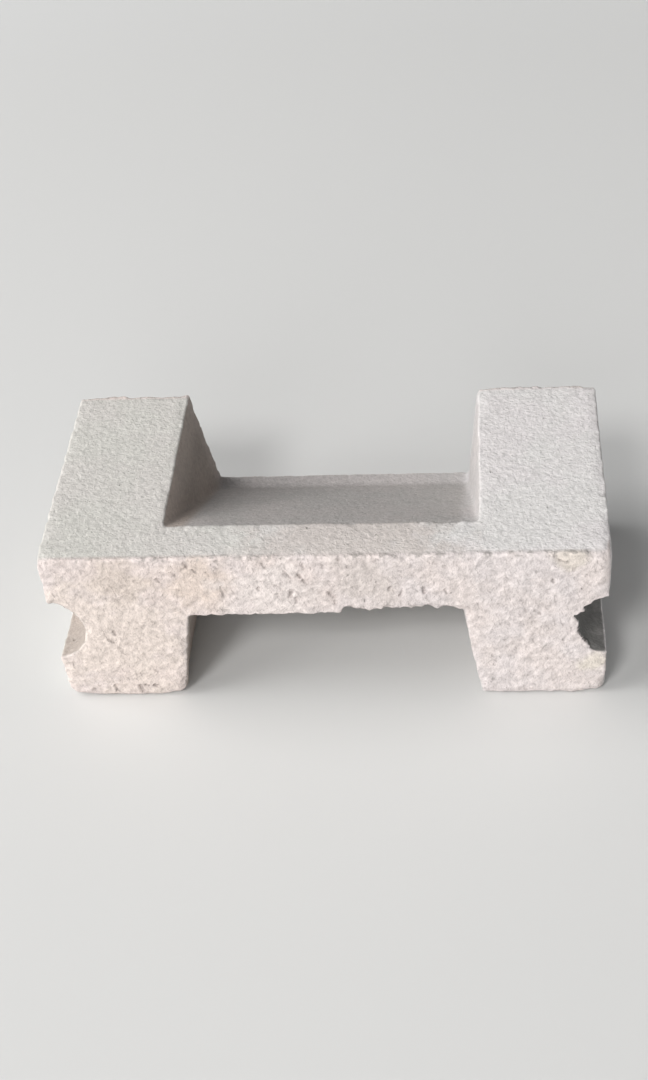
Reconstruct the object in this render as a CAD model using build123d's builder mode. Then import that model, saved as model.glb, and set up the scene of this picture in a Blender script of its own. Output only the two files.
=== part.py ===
from build123d import *

import os

# A louvre ventilation block, cast in concrete as one piece
#
# The block lies on its back with its face up. X runs across it, Y from its near end to its far
# end and Z from its back to its face. The origin is the middle of its back. Two solid cheeks
# carry a slat of Z section: one strip of the slat lies in the face, along the near end, another
# lies in the back, along the far end, and the slat slopes between them. In a wall the ends are
# the beds, and air passes over and under the slat.

# Overall size
length = 400
height = 190
depth = 140

# Slat between the cheeks: its thickness at both ends of the block, and its flat strips
slat_end = 56
face_strip = 35
inner_strip = 15

# Drafted space between the cheeks, at the face and where it meets the slat's inner strip
opening_width = 225
throat_width = 200

# Half-round mortar groove down each side
groove_mouth = 54
groove_depth = 23

# Roundings of the outer arrises and of the creases inside the spaces
arris_round = 2
crease_round = 2

near_end = -height / 2
far_end = height / 2
strip_edge = near_end + face_strip
slope_foot = far_end - inner_strip
groove_radius = (groove_mouth**2 / 4 + groove_depth**2) / (2 * groove_depth)
groove_axis = length / 2 + groove_radius - groove_depth

# Space over the slat: the draft between the cheeks, cut by the slat's upper outline
with BuildPart() as air_space:
    with BuildSketch(Plane.XZ):
        with BuildLine():
            Polyline(
                (-opening_width / 2, depth),
                (-throat_width / 2, slat_end),
                (throat_width / 2, slat_end),
                (opening_width / 2, depth),
                close=True,
            )
        make_face()
    extrude(amount=height / 2, both=True)
    with BuildSketch(Plane.YZ):
        with BuildLine():
            Polyline(
                (strip_edge, depth),
                (slope_foot, slat_end),
                (far_end, slat_end),
                (far_end, depth),
                close=True,
            )
        make_face()
    extrude(amount=length / 2, both=True, mode=Mode.INTERSECT)

    # What doesn't border the face or the far end is a crease of the space
    face_side = air_space.faces().sort_by(Axis.Z)[-1]
    far_side = air_space.faces().sort_by(Axis.Y)[-1]
    creases = air_space.edges() - face_side.edges() - far_side.edges()
    fillet(creases, crease_round)

with BuildPart() as louvre_block:
    with BuildSketch():
        Rectangle(length, height)
    extrude(amount=depth)

    # The space under the slat is the one over it, turned half a turn about the block's middle
    over_slat = Location((0, 0, 0))
    under_slat = Location((0, 0, depth), (180, 0, 0))
    with Locations(over_slat, under_slat):
        add(air_space.part, mode=Mode.SUBTRACT)

    with BuildSketch(Plane.XZ):
        with Locations((-groove_axis, depth / 2), (groove_axis, depth / 2)):
            Circle(groove_radius)
    extrude(amount=height / 2, both=True, mode=Mode.SUBTRACT)

    # Every arris lies in one of the six outer planes
    outer_faces = ShapeList()
    for axis in (Axis.X, Axis.Y, Axis.Z):
        flat_faces = louvre_block.faces().filter_by(axis).group_by(axis)
        outer_faces += flat_faces[0] + flat_faces[-1]
    fillet(outer_faces.edges(), arris_round)

louvre_block.part.label = "louvre_block"
os.makedirs("parts", exist_ok=True)
export_step(louvre_block.part, "parts/louvre_block.step")
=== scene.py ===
"""The looks of a louvre ventilation block: its weathered concrete skin, its light and its camera.

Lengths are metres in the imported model's frame: X runs across the block, Y from its near end to its
far end, and Z from its back, on the floor, to its face. The skin is one closed mesh. It is drawn
where a distance field, the moulded block less what wear has taken, crosses zero.
"""

import math

import bpy
import numpy as np
from mathutils import Matrix, Vector


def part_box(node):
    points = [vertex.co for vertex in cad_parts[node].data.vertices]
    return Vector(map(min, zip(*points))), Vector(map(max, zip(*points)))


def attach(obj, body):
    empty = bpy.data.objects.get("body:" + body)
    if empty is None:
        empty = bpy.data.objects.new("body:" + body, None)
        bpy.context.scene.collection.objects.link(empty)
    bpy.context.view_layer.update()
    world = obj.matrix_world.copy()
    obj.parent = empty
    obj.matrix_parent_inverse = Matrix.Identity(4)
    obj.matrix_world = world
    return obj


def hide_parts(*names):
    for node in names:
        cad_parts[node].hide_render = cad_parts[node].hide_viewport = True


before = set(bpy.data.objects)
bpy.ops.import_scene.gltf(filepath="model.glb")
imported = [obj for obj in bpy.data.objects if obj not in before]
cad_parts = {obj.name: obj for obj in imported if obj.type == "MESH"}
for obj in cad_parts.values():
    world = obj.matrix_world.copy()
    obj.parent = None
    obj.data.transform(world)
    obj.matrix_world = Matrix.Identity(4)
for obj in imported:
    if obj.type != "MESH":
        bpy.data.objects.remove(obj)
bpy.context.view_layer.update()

NODE = "louvre_block"
MM = 0.001

# Each noise has its own seed, counted on from this one
SEED = 20

# Overall size, from the frame
block_low, block_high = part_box(NODE)
LENGTH, HEIGHT, DEPTH = block_high - block_low

# Slat, drafted spaces and mortar grooves, as moulded
SLAT_END = 56 * MM
FACE_STRIP = 35 * MM
INNER_STRIP = 15 * MM
OPENING_WIDTH = 225 * MM
THROAT_WIDTH = 200 * MM
GROOVE_MOUTH = 54 * MM
GROOVE_DEPTH = 23 * MM
CREASE_ROUND = 2 * MM

# How far the cast walls over the slat stand in from the moulded ones: at the slat's inner strip
# and at the face
LEFT_INSETS = (1.6 * MM, -1.0 * MM)
RIGHT_INSETS = (-1.7 * MM, 2.5 * MM)

# How far the walls under the slat stand in at the near end's mouth, and how deep in from that end
# this starts and is full
MOUTH_INSET = 2.4 * MM
MOUTH_STARTS = 25 * MM
MOUTH_FULL = 5 * MM

STRIP_EDGE = FACE_STRIP - HEIGHT / 2
SLOPE_FOOT = HEIGHT / 2 - INNER_STRIP
GROOVE_RADIUS = (GROOVE_MOUTH**2 / 4 + GROOVE_DEPTH**2) / (2 * GROOVE_DEPTH)
GROOVE_AXIS = LENGTH / 2 + GROOVE_RADIUS - GROOVE_DEPTH

# Rounding of an arris as moulded, and of one worn right down
CRISP_ROUND = 0.8 * MM
WORN_ROUND = 8 * MM

# How far to either side of the moulded surface wear is worked out
WEAR_DEPTH = 10 * MM

# How deep in from the ends their roughness is gone, and how deep it is full
ROUGH_DEPTHS = (6 * MM, 2 * MM)

# How high the relief stands: on plain surfaces, on the rough ends, and what arrises have besides
PLAIN_RELIEF = 0.14 * MM
END_RELIEF = 0.36 * MM
ARRIS_RELIEF = 0.6 * MM

# How much less wear and relief the slat's far arris has
BRINK_WEAR_SPARED = 0.6
BRINK_RELIEF_SPARED = 0.7

# How far apart the skin's vertices are: on plain surfaces, on the ends, at arrises and at marks
PLAIN_STEP = 3.4 * MM
END_STEP = 2.25 * MM
ARRIS_STEP = 1.6 * MM
MARK_STEP = 0.8 * MM

# An edge of the skin is split where it is this many steps long, and this often at most
SPLIT_AT = 1.35
SPLIT_ROUNDS = 3

# The way the fine scores on the ends run: how far they lean left from upright, and how much
# longer than wide they are
DRAG_LEAN = math.radians(22)
DRAG_STRETCH = 2.5

# Corners worn round or left crisp: place and how far it reaches, in millimetres, and how much
# more wear is there. The wear is full within a share of the reach.
CORNER_CORE = 0.3
WORN_CORNERS = (
    (200, -95, 140, 20, 0.7),
    (200, -95, 0, 24, 0.9),
    (-112, -95, 0, 18, 0.9),
    (-200, -95, 140, 16, 0.4),
    (-200, -95, 0, 18, 0.5),
    (200, 95, 0, 20, 0.6),
    (-200, 95, 0, 16, 0.4),
    (112, 95, 140, 10, 0.4),
    (-98, -95, 84, 20, -0.8),
)

# Bites out of the arrises: how deep in from the ends they are looked for, how round their rims
# are, and the place and radius of each, in millimetres
CHIP_REACH = 16 * MM
CHIP_RIM = 0.5 * MM
CHIPS = (
    (18, -97, 84, 8.4),
    (27, -97, 84, 8.0),
    (36, -97, 84, 7.4),
    (47, -97, 84, 9.4),
    (58, -97, 84, 7.4),
    (67, -97, 84, 8.4),
    (75, -97, 84, 9.8),
    (84, -97, 84, 8.4),
    (92, -97, 84, 7.4),
    (97, -97, 84, 6.8),
    (-20, -97, 83, 4.4),
    (-64, -97, 83, 3.6),
    (-100, -97, 71, 3.4),
    (-102, -97, 58, 3.8),
    (-103, -97, 46, 4.8),
    (-105, -97, 34, 3.6),
    (-106, -97, 26, 3.2),
    (-108, -97, 16, 5.6),
    (-202, 96, 60, 8),
    (203, 97, -1, 9),
    (-60, 97, 58, 4),
    (35, 97, 58, 3),
)

# Pits and marks in the near end: how deep in they are looked for, how round their rims are, the Y
# of their middle lines, and the X and Z of each line's two ends and its radius, in millimetres
MARK_REACH = 6 * MM
MARK_RIM = 0.2 * MM
MARK_LEVEL = -94.7
MARKS = (
    (-25.5, 127, -21, 120, 0.8),
    (-16, 124, -10.5, 115, 1.0),
    (-21.5, 108.5, -22.5, 101.5, 1.2),
    (-32.5, 113.5, -28.5, 109, 0.8),
    (-44.5, 111, -44.5, 109, 1.1),
    (-71.5, 113, -70, 103, 0.7),
    (-32, 105, -31, 101, 0.8),
    (-19, 101, -19, 96, 0.9),
    (-40, 134, -38, 130, 0.9),
    (-12, 133, -11, 128, 0.8),
    (4, 106, 8.5, 101, 1.1),
    (5, 117, 6, 113, 0.8),
    (8, 98, 8, 94, 0.8),
    (2, 132, 2.5, 129, 0.9),
    (13, 140, 13.5, 137, 1.3),
    (47.5, 110, 46, 107.5, 1.0),
    (56, 108, 54, 102, 0.9),
    (71, 110.5, 71.5, 104.5, 1.1),
    (85.5, 107.5, 87, 103, 0.9),
    (-75, 134, -72, 130, 0.9),
    (-80, 127, -78, 123, 0.8),
    (-89, 130, -86.5, 126, 0.8),
    (-95, 136, -93, 132, 0.9),
    (-104, 128, -102, 124, 0.8),
    (-116, 121, -114, 118, 0.8),
    (148, 86, 151, 82, 1.1),
    (141, 87, 142, 84.5, 0.9),
    (160, 115.5, 160.5, 113, 1.0),
    (160.5, 138.5, 164.5, 133, 0.8),
    (164.5, 133, 168, 131.5, 0.8),
    (-155, 69, -154.5, 66, 1.2),
    (-160, 61, -156.5, 57.5, 0.9),
    (-131, 29, -128, 25, 0.8),
    (-162.5, 11.5, -163, 5, 1.5),
    (-144.5, 10.5, -143, 5, 1.4),
    (-139.5, 12.5, -138.5, 12, 1.2),
    (-133, 12, -131.5, 10.5, 1.4),
    (-180, 9, -180, 7, 1.0),
)

# Depth given to a point that is in no bite or mark
OUT_OF_REACH = -20 * MM

# Where the right groove's lip is ragged: X, distance from mid-depth and depth in from the near
# end, each first where this is gone and then where it is full
LIP_ACROSS = (166 * MM, 172 * MM)
LIP_ABOUT = (32 * MM, 28 * MM)
LIP_GONE = 6 * MM
LIP_FULL = 2 * MM

# That lip: height, and how far it stands into the groove, in millimetres
LIP = (
    (43.2, 0.0),
    (44.5, -1.5),
    (47.0, -1.0),
    (48.5, 0.5),
    (50.5, 1.0),
    (51.5, 3.6),
    (53.5, 4.2),
    (54.5, 4.2),
    (55.5, 1.4),
    (57.5, 1.8),
    (59.0, 4.4),
    (61.5, 4.4),
    (62.5, 3.6),
    (63.5, 0.6),
    (65.5, 1.4),
    (66.5, 3.6),
    (68.0, 3.8),
    (69.0, 1.8),
    (70.5, 2.2),
    (71.5, 3.8),
    (73.5, 3.4),
    (74.5, 0.8),
    (77.0, -1.0),
    (79.0, -3.0),
    (80.5, -2.8),
    (81.5, -0.6),
    (83.5, -0.2),
    (84.3, 2.4),
    (85.2, 2.4),
    (86.0, 0.0),
    (88.5, -1.0),
    (91.0, 0.5),
    (94.0, -0.6),
    (97.0, 0.0),
)


def noise(points, size, seed):
    """Smooth random values from -1 to 1 that change over about size."""
    cells = 64
    lattice = np.random.default_rng(seed).uniform(-1, 1, (cells,) * 3).astype(np.float32)
    scaled = points / size
    base = np.floor(scaled)
    share = (scaled - base).astype(np.float32)
    share = share * share * (3 - 2 * share)
    base = base.astype(np.int64) % cells
    after = (base + 1) % cells
    total = np.zeros(len(points), np.float32)
    for corner in range(8):
        picks = [(corner >> axis) & 1 for axis in range(3)]
        index = [(after if pick else base)[:, axis] for axis, pick in enumerate(picks)]
        weight = np.ones(len(points), np.float32)
        for axis, pick in enumerate(picks):
            weight *= share[:, axis] if pick else 1 - share[:, axis]
        total += weight * lattice[index[0], index[1], index[2]]
    return total


def layered(points, size, seed, layers):
    """Noise from about -1 to 1, with finer and fainter layers over it."""
    # Noise seldom comes near its limits, so it is widened by this much
    widening = 1.5
    total = sum(noise(points, size / 2**n, seed + n) / 2**n for n in range(layers))
    return widening * total / (2 - 0.5 ** (layers - 1))


def ramp(values, start, end):
    """0 up to start and 1 past end, or the other way round, smooth between."""
    share = np.clip((values - start) / (end - start), 0, 1)
    return share * share * (3 - 2 * share)


def round_max(first, second, radius):
    """The larger of two distances, with the corner between them rounded."""
    corner = np.hypot(np.maximum(first + radius, 0), np.maximum(second + radius, 0)) - radius
    return np.where(np.minimum(first, second) > -radius, corner, np.maximum(first, second))


def air_space(x, y, z, inset):
    """Signed distance to the drafted space over the slat, below zero inside it.

    Its walls stand in from the moulded ones by the inset.
    """
    draft = (OPENING_WIDTH - THROAT_WIDTH) / 2 / (DEPTH - SLAT_END)
    half_width = THROAT_WIDTH / 2 + (z - SLAT_END) * draft - inset
    wall = (np.abs(x) - half_width) / math.hypot(1, draft)
    fall = DEPTH - SLAT_END
    run = SLOPE_FOOT - STRIP_EDGE
    slope = ((DEPTH - z) * run - (y - STRIP_EDGE) * fall) / math.hypot(run, fall)
    slat = round_max(slope, SLAT_END - z, CREASE_ROUND)
    return round_max(wall, slat, CREASE_ROUND)


def both_spaces(x, y, z):
    """Signed distances to the spaces over and under the slat."""
    levels = (SLAT_END, DEPTH)
    cast = np.where(x < 0, np.interp(z, levels, LEFT_INSETS), np.interp(z, levels, RIGHT_INSETS))
    mouth = MOUTH_INSET * ramp(y, MOUTH_STARTS - HEIGHT / 2, MOUTH_FULL - HEIGHT / 2)
    return air_space(x, y, z, cast), air_space(x, -y, DEPTH - z, mouth)


def by_lip(x, y, z):
    """1 about the near end's mouth of the right groove and 0 away from it."""
    about = ramp(x, *LIP_ACROSS) * ramp(np.abs(z - DEPTH / 2), *LIP_ABOUT)
    return about * ramp(y, LIP_GONE - HEIGHT / 2, LIP_FULL - HEIGHT / 2)


def ragged_lip(x, y, z):
    """How far the right groove's lip stands into the groove, close to the near end."""
    heights, widths = np.array(LIP).T * MM
    return np.interp(z, heights, widths) * by_lip(x, y, z)


def groove(x, y, z):
    """Signed distance to the two mortar grooves, below zero inside them."""
    round_groove = np.hypot(np.abs(x) - GROOVE_AXIS, z - DEPTH / 2) - GROOVE_RADIUS
    return round_groove + ragged_lip(x, y, z)


def moulded(points, radius):
    """Signed distance to the block, below zero inside it, with its arrises rounded to radius."""
    x, y, z = points.T
    sides = np.abs(x) - LENGTH / 2
    ends = np.abs(y) - HEIGHT / 2
    faces = np.abs(z - DEPTH / 2) - DEPTH / 2
    shape = round_max(round_max(sides, ends, radius), faces, radius)
    for space in (*both_spaces(x, y, z), groove(x, y, z)):
        shape = round_max(shape, -space, radius)
    return shape


def rough_ends(points):
    """1 on the rough near and far ends and 0 a little way in from them."""
    return ramp(HEIGHT / 2 - np.abs(points[:, 1]), *ROUGH_DEPTHS)


def smooth_inside(points):
    """1 on the smoother walls of the air spaces and grooves and 0 on the block's outside."""
    x, y, z = points.T
    spaces = (*both_spaces(x, y, z), groove(x, y, z))
    outside = np.maximum(np.abs(x) - LENGTH / 2, np.abs(y) - HEIGHT / 2)
    outside = np.maximum(outside, np.abs(z - DEPTH / 2) - DEPTH / 2)
    at_wall = ramp(np.min(spaces, axis=0), 3 * MM, 1.5 * MM)
    further_in = ramp(-outside, 0.8 * MM, 2.0 * MM)
    return at_wall * further_in


def by_brink(x, y, z):
    """1 about the slat's far arris, over its inner strip, and 0 away from it."""
    along = ramp(y, HEIGHT / 2 - 9 * MM, HEIGHT / 2 - 4 * MM)
    level = ramp(np.abs(z - SLAT_END), 8 * MM, 4 * MM)
    across = ramp(np.abs(x), THROAT_WIDTH / 2 + 2 * MM, THROAT_WIDTH / 2 - 3 * MM)
    return along * level * across


def arris_wear(points):
    """How far each arris is worn down, from 0, as moulded, to 1, fully rounded."""
    x, y, z = points.T

    # Each is 1 where the wear goes by it and 0 away from there: at both ends, low down, toward
    # the outer sides, on the slat at the ends, and on the inner arris of the strip in the face
    ends = ramp(HEIGHT / 2 - np.abs(y), 12 * MM, 3 * MM)
    foot = ramp(z, 22 * MM, 5 * MM)
    outside = ramp(np.abs(x), LENGTH / 2 - 25 * MM, LENGTH / 2 - 8 * MM)
    slat = ends * ramp(np.abs(x), THROAT_WIDTH / 2, THROAT_WIDTH / 2 - 5 * MM)
    strip = ramp(np.abs(y - STRIP_EDGE), 7 * MM, 3 * MM) * ramp(z, DEPTH - 6 * MM, DEPTH - 3 * MM)
    strip *= ramp(np.abs(x), OPENING_WIDTH / 2, OPENING_WIDTH / 2 - 6 * MM)

    # Wear that comes and goes slowly, and crumbs broken out here and there
    general = 0.03 + 0.03 * ends + 0.12 * foot + 0.07 * outside
    swell = layered(points, 26 * MM, SEED, 2)
    ragged = 0.09 + 0.14 * ends * (1 - foot) + 0.08 * foot + 0.14 * outside + 0.06 * slat
    ragged += 0.20 * strip
    crumbs = layered(points, 5.5 * MM, SEED + 10, 2)
    wear = general * (1 + 0.8 * swell) + ragged * crumbs

    for *place, reach, amount in WORN_CORNERS:
        apart = np.linalg.norm(points - np.array(place) * MM, axis=1)
        wear += amount * ramp(apart, reach * MM, CORNER_CORE * reach * MM)
    wear = wear * (1 - by_lip(x, y, z)) * (1 - BRINK_WEAR_SPARED * by_brink(x, y, z))
    return np.clip(wear, 0, 1)


def relief(points):
    """Depth of the rough and slightly uneven surface below the moulded one."""
    ends = rough_ends(points) * (1 - smooth_inside(points))
    edges = ramp(moulded(points, WORN_ROUND) - moulded(points, CRISP_ROUND), 0, 1.5 * MM)
    uneven = 0.5 + 0.5 * layered(points, 24 * MM, SEED + 40, 2)
    plain = layered(points, 8 * MM, SEED + 20, 2)
    lumps = layered(points, 5.0 * MM, SEED + 25, 2)
    depth = PLAIN_RELIEF * (1 + plain) * (1 - ends) + END_RELIEF * (1 + 1.3 * lumps) * ends
    depth = np.maximum(depth, 0) + ARRIS_RELIEF * edges * np.clip(uneven, 0, 1.2)
    return depth * (1 - BRINK_RELIEF_SPARED * by_brink(*points.T))


def chips_at(points):
    """How far each point is inside a bite out of an arris, below zero outside them all."""
    depth = np.full(len(points), OUT_OF_REACH)
    near = np.flatnonzero(np.abs(points[:, 1]) > HEIGHT / 2 - CHIP_REACH)
    close = points[near]
    crumble = 1 + 0.25 * layered(close, 8 * MM, SEED + 30, 2)
    for *place, radius in CHIPS:
        bite = radius * MM * crumble - np.linalg.norm(close - np.array(place) * MM, axis=1)
        depth[near] = np.maximum(depth[near], bite)
    return depth


def marks_at(points):
    """How far each point is inside a pit or mark of the near end, below zero outside them all."""
    depth = np.full(len(points), OUT_OF_REACH)
    near = np.flatnonzero(points[:, 1] < MARK_REACH - HEIGHT / 2)
    close = points[near]
    crumble = 1 + 0.4 * layered(close, 3 * MM, SEED + 50, 1)
    for x_start, z_start, x_end, z_end, radius in MARKS:
        start = np.array((x_start, MARK_LEVEL, z_start)) * MM
        run = np.array((x_end, MARK_LEVEL, z_end)) * MM - start
        share = np.clip((close - start) @ run / (run @ run), 0, 1)
        apart = np.linalg.norm(close - start - share[:, None] * run, axis=1)
        depth[near] = np.maximum(depth[near], radius * MM * crumble - apart)
    return depth


def worn(points):
    """Signed distance to the block as it is now: worn, chipped and rough."""
    crisp = moulded(points, CRISP_ROUND)
    rounded = moulded(points, WORN_ROUND)
    shape = crisp + arris_wear(points) * (rounded - crisp) + relief(points)
    shape = round_max(shape, chips_at(points), CHIP_RIM)
    return round_max(shape, marks_at(points), MARK_RIM)


def skin_net(field, lines):
    """Vertices and triangles of the surface where the field crosses zero on a lattice.

    Each cell that the surface passes through gets one vertex, in the middle of where the surface
    crosses the cell's edges, and each crossed edge gets a face between its four cells.
    """
    inside = field < 0
    cells = tuple(n - 1 for n in field.shape)
    total = np.zeros(cells + (3,))
    count = np.zeros(cells, np.int32)
    rings = []
    for axis in range(3):
        across = [n for n in range(3) if n != axis]
        start = tuple(slice(0, -1) if n == axis else slice(None) for n in range(3))
        end = tuple(slice(1, None) if n == axis else slice(None) for n in range(3))
        crossed = inside[start] != inside[end]
        index = np.argwhere(crossed)
        before, after = field[start][crossed], field[end][crossed]
        place = np.stack([lines[n][index[:, n]] for n in range(3)], 1)
        step = lines[axis][index[:, axis] + 1] - lines[axis][index[:, axis]]
        place[:, axis] += step * before / (before - after)
        ring = np.repeat(index[:, None], 4, 1)
        ring[:, (1, 2), across[0]] -= 1
        ring[:, (2, 3), across[1]] -= 1
        for cell in ring.transpose(1, 2, 0):
            np.add.at(total, tuple(cell), place)
            np.add.at(count, tuple(cell), 1)
        outward = inside[start][crossed] ^ (axis == 1)
        ring[~outward] = ring[~outward][:, ::-1]
        rings.append(ring)
    used = count > 0
    number = np.full(cells, -1, np.int64)
    number[used] = np.arange(used.sum())
    squares = number[tuple(np.concatenate(rings).transpose(2, 0, 1))]
    vertices = total[used] / count[used][:, None]
    return vertices, np.concatenate([squares[:, (0, 1, 2)], squares[:, (0, 2, 3)]])


def settle(points):
    """Points moved on to the skin, along the field's slope."""
    rounds = 3
    reach = 0.3 * MM
    least_steepness = 0.6
    for _ in range(rounds):
        here = worn(points)
        slope = np.stack([worn(points + reach * axis) - here for axis in np.eye(3)], 1) / reach
        steepness = np.maximum((slope**2).sum(1), least_steepness)
        points = points - slope * (here / steepness)[:, None]
    return points


def step_at(points):
    """How far apart the skin's vertices should be at each point."""
    rounding = moulded(points, WORN_ROUND) - moulded(points, CRISP_ROUND)
    at_arris = (rounding > 1.0 * MM) | (chips_at(points) > -1 * MM)
    at_end = rough_ends(points) > 0.5
    at_mark = (by_lip(*points.T) > 0.1) | (marks_at(points) > -0.6 * MM)
    step = np.where(at_arris, ARRIS_STEP, np.where(at_end, END_STEP, PLAIN_STEP))
    return np.where(at_mark, MARK_STEP, step)


def split_edges(vertices, triangles):
    """The same skin with each edge that is long for its place split in two."""
    sides = np.sort(triangles[:, ((0, 1), (1, 2), (2, 0))], 2)
    keys = sides[..., 0] * len(vertices) + sides[..., 1]
    edges, number = np.unique(keys, return_inverse=True)
    number = number.reshape(keys.shape)
    ends = vertices[np.stack([edges // len(vertices), edges % len(vertices)], 1)]
    middles = ends.mean(1)
    too_long = np.linalg.norm(ends[:, 0] - ends[:, 1], axis=1) > SPLIT_AT * step_at(middles)
    middle_number = np.full(len(edges), -1)
    middle_number[too_long] = len(vertices) + np.arange(too_long.sum())
    vertices = np.concatenate([vertices, settle(middles[too_long])])

    # A triangle is 0, 1, 2, and 3, 4, 5 are the middles of its sides from 0, from 1 and from 2
    middle = middle_number[number]
    split = middle >= 0
    pieces = [triangles[~split.any(1)]]
    patterns = {
        (True, False, False): ((0, 3, 2), (3, 1, 2)),
        (True, True, False): ((3, 1, 4), (0, 3, 4), (0, 4, 2)),
        (True, True, True): ((0, 3, 5), (3, 1, 4), (5, 4, 2), (3, 4, 5)),
    }
    for turn in range(3):
        corners = np.roll(triangles, -turn, 1)
        halves = np.roll(middle, -turn, 1)
        for pattern, parts in patterns.items():
            if turn and all(pattern):
                continue
            chosen = (np.roll(split, -turn, 1) == pattern).all(1)
            six = np.concatenate([corners[chosen], halves[chosen]], 1)
            pieces += [six[:, part] for part in parts]
    return vertices, np.concatenate(pieces)


def even_out(vertices, triangles):
    """Vertices drawn towards the middle of their neighbours, then settled on the skin again."""
    total = np.zeros_like(vertices)
    count = np.zeros(len(vertices))
    for corner in range(3):
        here, after = triangles[:, corner], triangles[:, (corner + 1) % 3]
        np.add.at(total, here, vertices[after])
        np.add.at(count, here, 1)
    return settle(vertices + 0.5 * (total / count[:, None] - vertices))


def draw_skin():
    """Vertices and triangles of the worn block, with small triangles where it is rough.

    No vertex lies outside the box of the block's solid.
    """
    margin = PLAIN_STEP
    spans = ((-LENGTH / 2, LENGTH / 2), (-HEIGHT / 2, HEIGHT / 2), (0, DEPTH))
    lines = []
    for low, high in spans:
        count = int((high - low + 2 * margin) / PLAIN_STEP) + 2
        lines.append(np.linspace(low - margin, high + margin, count))
    points = np.stack(np.meshgrid(*lines, indexing="ij"), -1).reshape(-1, 3)
    field = moulded(points, CRISP_ROUND)
    near = np.abs(field) < WEAR_DEPTH
    field[near] = worn(points[near])
    vertices, triangles = skin_net(field.reshape([len(line) for line in lines]), lines)
    vertices = settle(vertices)
    for _ in range(SPLIT_ROUNDS):
        vertices, triangles = split_edges(vertices, triangles)
    vertices = even_out(vertices, triangles)
    return np.clip(vertices, np.array(block_low), np.array(block_high)), triangles


def make_block():
    """The block's skin, with marks that the concrete's colour and grain follow."""
    vertices, triangles = draw_skin()
    mesh = bpy.data.meshes.new("concrete_block")
    mesh.from_pydata(vertices.tolist(), [], triangles.tolist())
    mesh.shade_smooth()
    lost = -moulded(vertices, CRISP_ROUND)
    inner = smooth_inside(vertices)
    marks = {
        "end": rough_ends(vertices) * (1 - inner),
        "inner": inner,
        "broken": ramp(lost, 1.0 * MM, 2.2 * MM),
        "pit": ramp(marks_at(vertices), -0.5 * MM, 0.3 * MM),
    }
    for name, values in marks.items():
        mark = mesh.attributes.new(name, "FLOAT", "POINT")
        mark.data.foreach_set("value", values.astype(np.float32))
    skin = bpy.data.objects.new("concrete_block", mesh)
    bpy.context.collection.objects.link(skin)
    return skin


def make_node(tree, kind, inputs=None, **settings):
    """A shader node with its settings made and its inputs linked or set."""
    node = tree.nodes.new(kind)
    for name, value in settings.items():
        setattr(node, name, value)
    for key, value in (inputs or {}).items():
        if isinstance(value, bpy.types.NodeSocket):
            tree.links.new(value, node.inputs[key])
        else:
            node.inputs[key].default_value = value
    return node


def blank_material(name):
    """A new material with one shader, and its tree and shader."""
    material = bpy.data.materials.new(name)
    material.use_nodes = True
    tree = material.node_tree
    tree.nodes.clear()
    shader = make_node(tree, "ShaderNodeBsdfPrincipled")
    make_node(tree, "ShaderNodeOutputMaterial", {"Surface": shader.outputs["BSDF"]})
    return material, tree, shader


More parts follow.
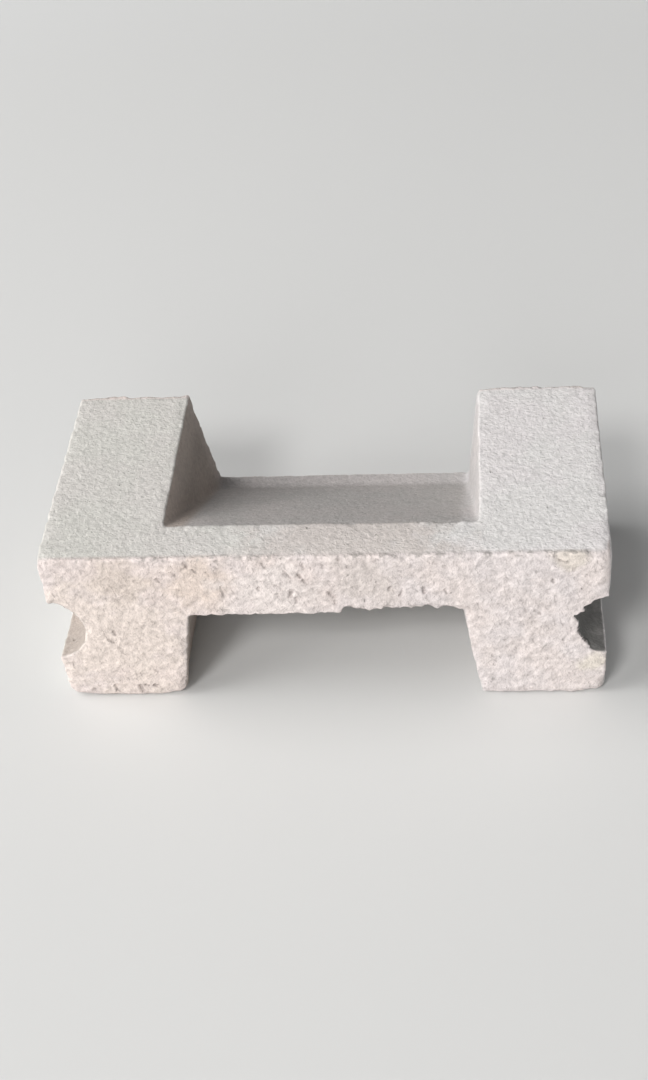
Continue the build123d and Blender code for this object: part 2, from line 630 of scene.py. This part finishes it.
class Pattern:
    """Makes the nodes of one material's patterns. What is worked out is a socket, not a number."""

    def __init__(self, tree):
        self.tree = tree
        self.place = make_node(tree, "ShaderNodeTexCoord").outputs["Object"]

    def mark(self, name):
        """One of the marks that the skin's vertices carry."""
        return make_node(self.tree, "ShaderNodeAttribute", attribute_name=name).outputs["Fac"]

    def calc(self, operation, *values):
        """The result of a Math node."""
        inputs = dict(enumerate(values))
        return make_node(self.tree, "ShaderNodeMath", inputs, operation=operation).outputs[0]

    def times(self, first, second):
        """The product of two values."""
        return self.calc("MULTIPLY", first, second)

    def vector(self, operation, inputs):
        """A Vector Math node, which has a vector and a value to give."""
        return make_node(self.tree, "ShaderNodeVectorMath", inputs, operation=operation)

    def spread(self, value, low, high, start=0.0, end=1.0):
        """start where the value is low and end where it is high, smooth between."""
        inputs = {"Value": value, "From Min": low, "From Max": high, "To Min": start, "To Max": end}
        node = make_node(self.tree, "ShaderNodeMapRange", inputs, interpolation_type="SMOOTHSTEP")
        return node.outputs["Result"]

    def mix(self, factor, first, second, blend="MIX"):
        """The first colour at factor 0, and at 1 the second or what it makes of the first."""
        inputs = {0: factor, 6: first, 7: second}
        node = make_node(self.tree, "ShaderNodeMix", inputs, data_type="RGBA", blend_type=blend)
        return node.outputs[2]

    def tinted(self, colour, tint):
        """A colour multiplied by a tint."""
        return self.mix(1.0, colour, tint, "MULTIPLY")

    def mix_value(self, factor, first, second):
        """The first value at factor 0 and the second at 1."""
        return self.calc("ADD", first, self.times(factor, self.calc("SUBTRACT", second, first)))

    def cloud(self, size, detail=2.0, roughness=0.5, where=None):
        """Smooth noise of about 0.5 that changes over about size."""
        vector = self.place if where is None else where
        inputs = {"Vector": vector, "Scale": 1 / size, "Detail": detail, "Roughness": roughness}
        return make_node(self.tree, "ShaderNodeTexNoise", inputs).outputs["Fac"]

    def cells(self, size, where):
        """Distance to the nearest cell's middle, and a random value for each cell."""
        node = make_node(self.tree, "ShaderNodeTexVoronoi", {"Vector": where, "Scale": 1 / size})
        value = make_node(self.tree, "ShaderNodeSeparateColor", {"Color": node.outputs["Color"]})
        return node.outputs["Distance"], value.outputs[0]

    def near(self, centre, reach):
        """1 about a place, falling unevenly to 0 at reach from it."""
        apart = self.vector("DISTANCE", {0: self.place, 1: centre}).outputs["Value"]
        uneven = self.times(self.calc("SUBTRACT", self.cloud(18 * MM), 0.5), 1.6 * reach)
        return self.spread(self.calc("ADD", apart, uneven), reach, 0.3 * reach)

    def specks(self, size, share, radius, where):
        """1 in the middle of round specks, one in a share of the cells of about size."""
        distance, value = self.cells(size, where)
        picked = self.spread(value, 1 - share, 1 - 0.6 * share)
        return self.times(self.spread(distance, radius, 0.4 * radius), picked)

    def shaken(self):
        """Places shaken by a little noise, so that no cell shows as a round dot."""
        grain = {"Vector": self.place, "Scale": 420.0, "Detail": 1.0}
        jitter = make_node(self.tree, "ShaderNodeTexNoise", grain).outputs["Color"]
        centred = self.vector("SUBTRACT", {0: jitter, 1: (0.5, 0.5, 0.5)}).outputs[0]
        scaled = self.vector("SCALE", {0: centred, "Scale": 3.0 * MM}).outputs[0]
        return self.vector("ADD", {0: self.place, 1: scaled}).outputs[0]

    def drawn_out(self, where):
        """Places drawn out the way that the scores on the ends run."""
        turn = (0, -DRAG_LEAN, 0)
        inputs = {"Vector": where, "Rotation": turn, "Scale": (1.0, 1.0, DRAG_STRETCH)}
        return make_node(self.tree, "ShaderNodeMapping", inputs, vector_type="TEXTURE").outputs[0]


# Colours are red, green, blue and alpha. The face, the inner walls and the ends have two shades
# each, which drift into each other.
FACE_SHADES = ((0.594, 0.580, 0.543, 1), (0.602, 0.576, 0.547, 1))
WALL_SHADES = ((0.437, 0.415, 0.400, 1), (0.466, 0.435, 0.419, 1))
END_SHADES = ((0.657, 0.571, 0.536, 1), (0.649, 0.575, 0.552, 1))

# Tints, which multiply a colour: none, and what the face and the ends have at their right
NO_TINT = (1.0, 1.0, 1.0, 1)
FACE_RIGHT_TINT = (1.155, 1.150, 1.205, 1)
END_RIGHT_TINT = (1.01, 1.045, 1.07, 1)

# Painted light and shade inside the spaces and grooves, each with its axis and where it starts and
# is full: painted shade on the left wall, darker and browner; painted light on the right wall,
# paler; painted light on the inner strip, paler; and painted shade in the right groove, darker
PAINTED_WALL_LIGHT_AND_SHADE = (
    ("X", -0.094, -0.102, (0.92, 0.845, 0.785, 1)),
    ("X", 0.094, 0.102, (1.20, 1.21, 1.23, 1)),
    ("Y", 0.074, 0.084, (1.10, 1.10, 1.12, 1)),
    ("X", 0.165, 0.175, (0.62, 0.63, 0.62, 1)),
)

# Patches of another colour: place and reach, in metres, and colour
FACE_PATCH = ((0.02, -0.08, 0.14), 0.10, (0.588, 0.540, 0.512, 1))
END_PATCHES = (
    ((-0.155, -0.095, 0.060), 0.080, (0.674, 0.592, 0.543, 1)),
    ((-0.146, -0.095, 0.118), 0.024, (0.612, 0.533, 0.482, 1)),
    ((-0.085, -0.095, 0.118), 0.038, (0.655, 0.560, 0.502, 1)),
    ((-0.035, -0.095, 0.100), 0.048, (0.690, 0.625, 0.598, 1)),
    ((0.030, -0.095, 0.118), 0.036, (0.602, 0.542, 0.515, 1)),
    ((0.168, -0.095, 0.137), 0.016, (0.645, 0.584, 0.530, 1)),
    ((0.192, -0.095, 0.034), 0.015, (0.648, 0.592, 0.530, 1)),
)

# Painted shade in the right groove, by its near mouth: place and reach, strength and colour
GROOVE_SHADE_PLACE = ((0.186, -0.095, 0.058), 0.075)
GROOVE_SHADE_STRENGTH = 0.60
GROOVE_SHADE_COLOUR = (0.090, 0.091, 0.085, 1)

PORE_COLOUR = (0.25, 0.22, 0.20, 1)
# Painted shade of small gaps along the near arris of the face
GAP_SHADE_COLOUR = (0.30, 0.28, 0.26, 1)
SCORE_COLOUR = (0.30, 0.26, 0.24, 1)
PIT_COLOUR = (0.22, 0.19, 0.18, 1)


def part_colours(pattern, axes):
    """Colours of the face, of the walls inside the spaces and grooves, and of the rough ends."""
    to_right = pattern.spread(axes["X"], -0.16, 0.16)
    drift = pattern.spread(pattern.cloud(60 * MM, 3.0, 0.55), 0.38, 0.62)
    patchy = pattern.spread(pattern.cloud(45 * MM, 2.0, 0.6), 0.38, 0.62)

    face = pattern.mix(drift, *FACE_SHADES)
    face = pattern.tinted(face, pattern.mix(to_right, NO_TINT, FACE_RIGHT_TINT))
    *place, colour = FACE_PATCH
    face = pattern.mix(pattern.near(*place), face, colour)

    walls = pattern.mix(drift, *WALL_SHADES)
    # Painted light and shade on the walls: the left wall darker and browner, the right wall and the
    # inner strip paler, the right groove darker
    for axis, starts, full, tint in PAINTED_WALL_LIGHT_AND_SHADE:
        there = pattern.spread(axes[axis], starts, full)
        walls = pattern.mix(there, walls, pattern.tinted(walls, tint))
    # Painted shade in the right groove, by its near mouth
    groove_shade = pattern.times(pattern.near(*GROOVE_SHADE_PLACE), GROOVE_SHADE_STRENGTH)
    walls = pattern.mix(groove_shade, walls, GROOVE_SHADE_COLOUR)

    ends = pattern.mix(patchy, *END_SHADES)
    ends = pattern.tinted(ends, pattern.mix(to_right, NO_TINT, END_RIGHT_TINT))
    for *place, colour in END_PATCHES:
        ends = pattern.mix(pattern.near(*place), ends, colour)
    return face, walls, ends


def concrete():
    """Sandy cast concrete: pale grey faces, smoother slopes and coarse cream ends."""
    material, tree, shader = blank_material("concrete")
    pattern = Pattern(tree)
    calc, times, spread, mix = pattern.calc, pattern.times, pattern.spread, pattern.mix
    axes = make_node(tree, "ShaderNodeSeparateXYZ", {0: pattern.place}).outputs
    shaken = pattern.shaken()
    scored = pattern.drawn_out(shaken)

    face, walls, ends = part_colours(pattern, axes)
    coarse = calc("MAXIMUM", pattern.mark("end"), pattern.mark("broken"))
    colour = mix(coarse, mix(pattern.mark("inner"), face, walls), ends)

    # Soft lumps, and grains of sand with gaps between them
    plain_lumps = pattern.cloud(8.5 * MM, 3.0, 0.60)
    coarse_lumps = pattern.cloud(5.5 * MM, 3.0, 0.65)
    lumps = pattern.mix_value(coarse, plain_lumps, coarse_lumps)
    peel = pattern.cloud(4.0 * MM, 2.0, 0.50, shaken)
    dust = pattern.cloud(1.0 * MM, 2.0, 0.60)
    gap, grain_tone = pattern.cells(2.3 * MM, shaken)
    grain = spread(gap, 0.10, 0.90, 1.0, 0.0)
    tone = times(calc("SUBTRACT", lumps, 0.5), spread(coarse, 0.0, 1.0, 0.19, 0.74))
    for value, amount in ((peel, 0.34), (dust, 0.24), (grain_tone, 0.10), (grain, 0.08)):
        tone = calc("ADD", tone, times(calc("SUBTRACT", value, 0.5), amount))
    colour = mix(1.0, colour, calc("ADD", tone, 1.0), "MULTIPLY")

    # Open pores, painted shade of small gaps along the near arris of the face, scores, and the pits
    # and marks
    pores = pattern.specks(10 * MM, 0.22, 0.15, shaken)
    border = times(spread(axes["Y"], -0.0885, -0.0925), spread(axes["Z"], 0.136, 0.139))
    gap_shade = times(spread(pattern.cloud(4.5 * MM), 0.50, 0.62), border)
    scores = times(spread(pattern.cloud(2.8 * MM, 1.0, 0.4, scored), 0.66, 0.74), coarse)
    pits = times(pattern.mark("pit"), spread(pattern.cloud(3.5 * MM, 1.0), 0.35, 0.65, 0.15, 0.75))
    colour = mix(times(pores, 0.30), colour, PORE_COLOUR)
    colour = mix(times(gap_shade, 0.55), colour, GAP_SHADE_COLOUR)
    colour = mix(times(scores, 0.24), colour, SCORE_COLOUR)
    colour = mix(pits, colour, PIT_COLOUR)
    tree.links.new(colour, shader.inputs["Base Color"])

    roughness = spread(dust, 0.3, 0.7, 0.86, 0.98)
    tree.links.new(roughness, shader.inputs["Roughness"])
    shader.inputs["Specular IOR Level"].default_value = 0.2

    # Height of the fine relief, each amount times its pattern
    height = times(lumps, spread(coarse, 0.0, 1.0, 0.60 * MM, 1.40 * MM))
    raised = ((peel, 0.84 * MM), (grain, 0.14 * MM), (dust, 0.10 * MM))
    sunken = ((pores, -0.6 * MM), (scores, -0.3 * MM))
    for value, amount in raised + sunken:
        height = calc("ADD", height, times(value, amount))
    bump = make_node(tree, "ShaderNodeBump", {"Height": height, "Distance": 1.0, "Strength": 1.0})
    tree.links.new(bump.outputs["Normal"], shader.inputs["Normal"])
    return material


# The floor: its radius, how far from the middle it starts to fade and is gone, and its colour
FLOOR_RADIUS = 2.5
FLOOR_FADE = (0.9, 2.3)
FLOOR_COLOUR = (0.66, 0.66, 0.65, 1)


def make_floor():
    """A plain pale floor that fades into the background away from the block."""
    corners = 96
    turns = [math.tau * n / corners for n in range(corners)]
    rim = [(FLOOR_RADIUS * math.cos(turn), FLOOR_RADIUS * math.sin(turn), 0) for turn in turns]
    mesh = bpy.data.meshes.new("floor")
    mesh.from_pydata(rim, [], [tuple(range(corners))])
    floor = bpy.data.objects.new("floor", mesh)
    bpy.context.collection.objects.link(floor)

    material, tree, shader = blank_material("floor")
    pattern = Pattern(tree)
    apart = pattern.vector("LENGTH", {0: pattern.place}).outputs["Value"]
    tree.links.new(pattern.spread(apart, *FLOOR_FADE, 1.0, 0.0), shader.inputs["Alpha"])
    shader.inputs["Base Color"].default_value = FLOOR_COLOUR
    shader.inputs["Roughness"].default_value = 0.9
    mesh.materials.append(material)
    return floor


# How bright the sky is as light, how bright it looks as the background, and its colour
SKY_LIGHT = 0.16
SKY_SHOWN = 1.0
SKY_COLOUR = (0.80, 0.81, 0.82, 1)

# Lamps as seen from the block: name, azimuth and elevation in degrees, distance, size, power and
# colour. Four light it from the left and in front, and two weakly fill its right and far sides.
WARM = (1, 0.99, 0.98)
WHITE = (1, 1, 1)
LAMPS = (
    ("key", -24, 46, 10.0, 2.2, 400, WARM),
    ("left", -75, 22, 8.0, 5.0, 352, WARM),
    ("high_left", -90, 45, 8.0, 5.0, 296, WHITE),
    ("front", -10, 15, 8.0, 5.0, 288, WHITE),
    ("right_fill", 90, 5, 8.0, 1.0, 75, WHITE),
    ("back_fill", 180, 4, 8.0, 1.0, 50, WHITE),
)


def make_lamp(name, azimuth, elevation, distance, size, power, colour):
    """A square soft lamp that shines at the block and doesn't show itself."""
    data = bpy.data.lights.new(name, "AREA")
    data.size = size
    data.energy = power
    data.color = colour
    lamp = bpy.data.objects.new(name, data)
    around, above = math.radians(azimuth), math.radians(elevation)
    level = math.cos(above)
    toward = Vector((math.sin(around) * level, -math.cos(around) * level, math.sin(above)))
    lamp.location = toward * distance + Vector((0, 0, DEPTH / 2))
    lamp.rotation_euler = toward.to_track_quat("Z", "Y").to_euler()
    lamp.visible_camera = False
    bpy.context.collection.objects.link(lamp)


def light_scene():
    """Soft light from the left and in front, weak light all round, and a pale background."""
    world = bpy.data.worlds.new("sky")
    world.use_nodes = True
    tree = world.node_tree
    path = make_node(tree, "ShaderNodeLightPath").outputs
    shown = path["Is Camera Ray"]
    for kind in ("Is Glossy Ray", "Is Transmission Ray"):
        either = {0: shown, 1: path[kind]}
        shown = make_node(tree, "ShaderNodeMath", either, operation="MAXIMUM").outputs[0]
    levels = {"Value": shown, "To Min": SKY_LIGHT, "To Max": SKY_SHOWN}
    strength = make_node(tree, "ShaderNodeMapRange", levels).outputs["Result"]
    background = tree.nodes["Background"]
    background.inputs["Color"].default_value = SKY_COLOUR
    tree.links.new(strength, background.inputs["Strength"])
    bpy.context.scene.world = world
    for lamp in LAMPS:
        make_lamp(*lamp)


# The camera: its place, the point it is aimed at, its tilt in degrees and its lens in millimetres
CAMERA_PLACE = Vector((0.1115, -0.8956, 0.8821))
CAMERA_AIM = Vector((-0.0075, 0, DEPTH / 2))
CAMERA_TILT = -6.0
CAMERA_LENS = 53.3


def make_camera():
    """The photograph's viewpoint, tilted as the block is in the photograph."""
    camera = bpy.data.objects.new("camera", bpy.data.cameras.new("camera"))
    toward = CAMERA_AIM - CAMERA_PLACE
    turn = toward.to_track_quat("-Z", "Y").to_matrix().to_4x4()
    tilt = Matrix.Rotation(math.radians(CAMERA_TILT), 4, "Z")
    camera.matrix_world = Matrix.Translation(CAMERA_PLACE) @ turn @ tilt
    camera.data.lens = CAMERA_LENS
    bpy.context.collection.objects.link(camera)
    bpy.context.scene.camera = camera


block = make_block()
block.data.materials.append(concrete())
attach(block, "root")
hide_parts(NODE)
make_floor()
light_scene()
make_camera()
bpy.context.scene.view_settings.view_transform = "Standard"

bpy.context.view_layer.update()
